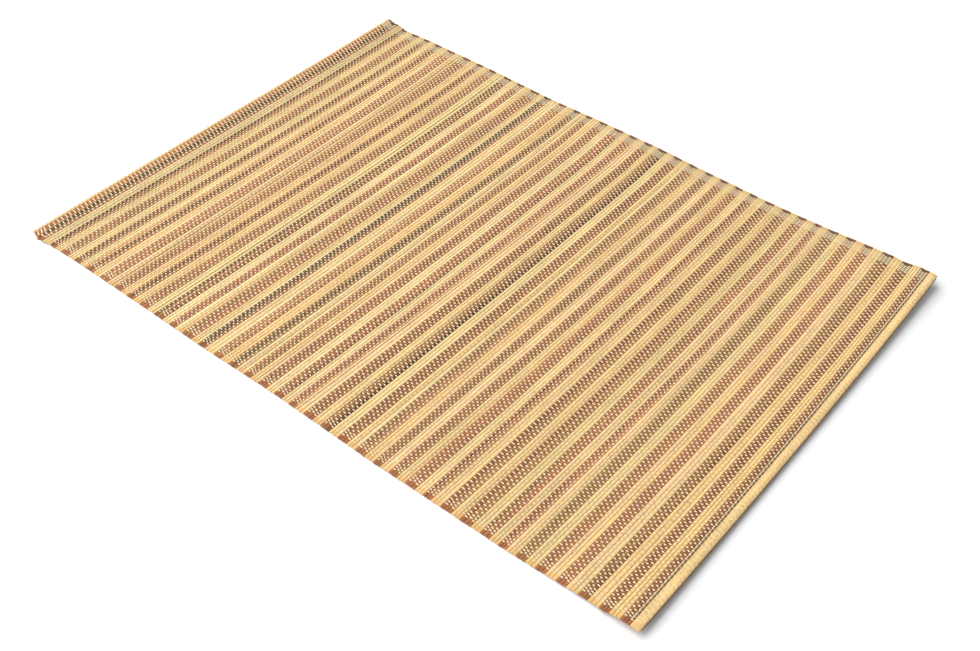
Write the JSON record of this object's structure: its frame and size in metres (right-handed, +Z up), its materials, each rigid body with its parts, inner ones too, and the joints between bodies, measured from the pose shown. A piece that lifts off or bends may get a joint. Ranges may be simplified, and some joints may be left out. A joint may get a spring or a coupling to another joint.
{
  "type": "bamboo placemat",
  "caption": "Rectangular woven bamboo placemat in brown and straw bands, lying flat, with a folded and stitched hem at each short end and one end curling up slightly.",
  "frame": {"origin": "on the table under the middle of the mat", "axes": "+X along the mat's length, across the splints, towards the curled end; +Y along the splints, towards the far edge; +Z up"},
  "size_m": [0.4518, 0.3323, 0.0078],
  "materials": {
    "bamboo_natural": "scraped bamboo splints, satin",
    "bamboo_dyed": "brown dyed bamboo splints, satin",
    "cotton_thread": "twisted cotton thread, matt"
  },
  "bodies": {
    "root": {"mat": "bamboo_natural"}
  },
  "joints": []
}
